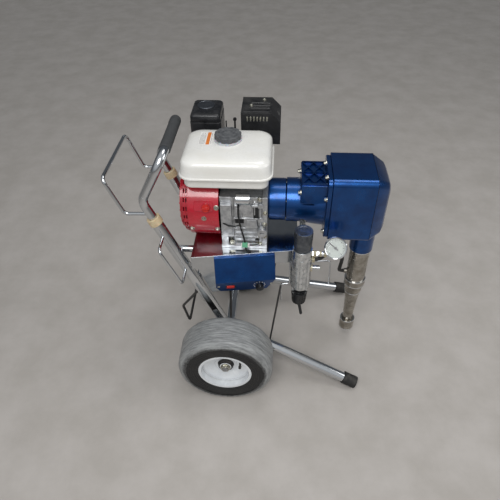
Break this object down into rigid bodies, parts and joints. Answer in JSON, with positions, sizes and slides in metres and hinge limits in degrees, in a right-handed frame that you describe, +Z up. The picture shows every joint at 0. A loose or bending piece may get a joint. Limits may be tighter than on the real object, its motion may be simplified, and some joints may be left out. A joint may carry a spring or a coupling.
{
  "type": "airless line striping machine",
  "caption": "Petrol-engine airless paint pump on a two-wheel hand cart with telescopic handle, filter, gauge and control box.",
  "frame": {"origin": "on the ground under the middle of the machine's footprint", "axes": "+X to the pump end, +Y to the operator's left, +Z up"},
  "size_m": [0.742, 0.575, 0.8035],
  "materials": {
    "chrome_tube": "bright chromed steel tube",
    "dark_rod": "black painted steel rod",
    "steel_shaft": "turned steel",
    "zinc_fastener": "bright zinc plated steel",
    "beige_nylon": "turned beige nylon",
    "black_rubber": "moulded black rubber",
    "stainless_sheet": "polished and brushed stainless sheet",
    "white_enamel": "white stove enamel",
    "tyre_rubber": "black tyre rubber",
    "stretch_film": "wound grey stretch film",
    "bronze_bush": "sintered bronze",
    "cast_aluminium": "die-cast aluminium, as cast",
    "red_enamel": "red stove enamel on pressed steel",
    "tank_white": "white gloss",
    "dark_plastic": "dark grey moulded plastic",
    "black_plastic": "black moulded plastic",
    "black_heat_paint": "satin black heat paint on pressed steel",
    "light_cap": "light grey satin",
    "cast_iron_wheel": "cast iron",
    "blue_enamel": "blue metallic enamel on cast aluminium",
    "stainless_turned": "turned stainless steel",
    "plunger_chrome": "hard chromed steel",
    "filter_alloy": "bright machined aluminium",
    "grey_anodised": "dark grey anodised aluminium",
    "needle_black": "black painted brass",
    "hose_rubber": "black hose rubber",
    "red_plastic": "red moulded plastic"
  },
  "bodies": {
    "cart": {"frame_tubes": "chrome_tube", "front_legs": "chrome_tube", "cross_members": "chrome_tube", "axle": "steel_shaft", "handle_collars": "beige_nylon", "platform": "stainless_sheet", "wire_hooks": "chrome_tube", "rear_hook_rod": "dark_rod", "brace_rods": "dark_rod", "rubber_feet": "black_rubber", "engine_bolts": "zinc_fastener", "axle_nuts": "zinc_fastener", "crankcase": "cast_aluminium", "cylinder_head": "cast_aluminium", "spark_plug": "black_plastic", "fan_shroud": "red_enamel", "recoil_cover": "red_enamel", "fuel_tank": "tank_white", "air_cleaner": "black_plastic", "muffler": "black_heat_paint", "carburettor": "cast_aluminium", "sensor_cable": "black_plastic", "clutch_housing": "blue_enamel", "drive_housing": "blue_enamel", "front_cover": "blue_enamel", "pump_cylinder": "stainless_turned", "intake_valve": "stainless_turned", "filter_body": "filter_alloy", "filter_element": "stainless_turned", "pressure_gauge": "filter_alloy", "pressure_hose": "hose_rubber", "control_box": "blue_enamel"},
    "right_wheel": {"right_rim": "white_enamel", "right_tyre": "tyre_rubber", "right_tyre_wrap": "stretch_film", "right_bushes": "bronze_bush"},
    "left_wheel": {"left_rim": "white_enamel", "left_tyre": "tyre_rubber", "left_tyre_wrap": "stretch_film", "left_bushes": "bronze_bush"},
    "handle": {"handle_tube": "chrome_tube", "handle_grip": "black_rubber", "hose_rack": "chrome_tube"},
    "rotor": {"crankshaft": "steel_shaft", "flywheel": "cast_iron_wheel", "pinion": "steel_shaft"},
    "gear": {"drive_gear": "steel_shaft"},
    "conrod": {"connecting_rod": "steel_shaft"},
    "plunger": {"pump_rod": "plunger_chrome"},
    "fuel_cap": {"fuel_cap": "dark_plastic"},
    "oil_cap": {"oil_cap": "light_cap"},
    "throttle": {"throttle_lever": "black_plastic"},
    "choke": {"choke_lever": "black_plastic"},
    "engine_switch": {"engine_switch": "red_plastic"},
    "starter": {"starter_grip": "black_plastic"},
    "filter_cap": {"filter_cap": "grey_anodised"},
    "drain_valve": {"drain_valve": "black_plastic"},
    "needle": {"gauge_needle": "needle_black"},
    "power_switch": {"rocker_switch": "red_plastic"},
    "knob": {"pressure_knob": "black_plastic"}
  },
  "joints": [
    {"name": "right_wheel_spin", "type": "hinge", "parent": "cart", "child": "right_wheel", "pos_m": [-0.066, -0.23, 0.145], "axis": [0, 1, 0], "continuous": true},
    {"name": "left_wheel_spin", "type": "hinge", "parent": "cart", "child": "left_wheel", "pos_m": [-0.066, 0.23, 0.145], "axis": [0, 1, 0], "continuous": true},
    {"name": "handle_slide", "type": "slide", "parent": "cart", "child": "handle", "axis": [-0.3746, 0, 0.9272], "range_m": [0, 0.2]},
    {"name": "fuel_cap_turn", "type": "hinge", "parent": "cart", "child": "fuel_cap", "pos_m": [-0.055, 0.004, 0.784], "axis": [0, 0, 1], "range_deg": [0, 90]},
    {"name": "oil_cap_turn", "type": "hinge", "parent": "cart", "child": "oil_cap", "pos_m": [0.038, -0.1, 0.556], "axis": [0, -1, 0], "range_deg": [0, 180]},
    {"name": "throttle_turn", "type": "hinge", "parent": "cart", "child": "throttle", "pos_m": [-0.048, 0.14, 0.71], "axis": [0, 0, 1], "range_deg": [-20, 25]},
    {"name": "choke_turn", "type": "hinge", "parent": "cart", "child": "choke", "pos_m": [-0.074, 0.15, 0.71], "axis": [0, 0, 1], "range_deg": [0, 60]},
    {"name": "engine_switch_turn", "type": "hinge", "parent": "cart", "child": "engine_switch", "pos_m": [-0.111, -0.09679, 0.63123], "axis": [0, -0.9397, 0.342], "range_deg": [0, 70]},
    {"name": "starter_pull", "type": "slide", "parent": "cart", "child": "starter", "axis": [0, 0.8192, 0.5736], "range_m": [0, 0.04], "stiffness_N_per_m": 40},
    {"name": "rotor_spin", "type": "hinge", "parent": "cart", "child": "rotor", "pos_m": [0.008, 0, 0.596], "axis": [1, 0, 0], "continuous": true},
    {"name": "gear_spin", "type": "hinge", "parent": "cart", "child": "gear", "pos_m": [0.274, 0, 0.644], "axis": [1, 0, 0], "continuous": true},
    {"name": "conrod_swing", "type": "hinge", "parent": "gear", "child": "conrod", "pos_m": [0.334, 0, 0.624], "axis": [1, 0, 0], "continuous": true},
    {"name": "plunger_slide", "type": "slide", "parent": "cart", "child": "plunger", "axis": [0, 0, 1], "range_m": [-0.02, 0.02]},
    {"name": "filter_cap_turn", "type": "hinge", "parent": "cart", "child": "filter_cap", "pos_m": [0.15, -0.13, 0.555], "axis": [0, 0, 1], "range_deg": [0, 180]},
    {"name": "drain_valve_turn", "type": "hinge", "parent": "cart", "child": "drain_valve", "pos_m": [0.15, -0.13, 0.36], "axis": [0, 0, 1], "range_deg": [0, 90]},
    {"name": "needle_turn", "type": "hinge", "parent": "cart", "child": "needle", "pos_m": [0.238, -0.13, 0.531], "axis": [0, -0.7431, 0.6691], "range_deg": [-185, 85]},
    {"name": "power_switch_tip", "type": "hinge", "parent": "cart", "child": "power_switch", "pos_m": [-0.05019, -0.15326, 0.39125], "axis": [0.9893, 0.1461, 0], "range_deg": [-10, 10]},
    {"name": "pressure_knob_turn", "type": "hinge", "parent": "cart", "child": "knob", "pos_m": [0.03305, -0.14195, 0.391], "axis": [0.1413, -0.9572, -0.2524], "range_deg": [0, 270]}
  ],
  "couplings": [
    {"joint": "gear_spin", "follows": "rotor_spin", "ratio": -0.33333},
    {"joint": "conrod_swing", "follows": "rotor_spin", "ratio": 0.33333}
  ]
}
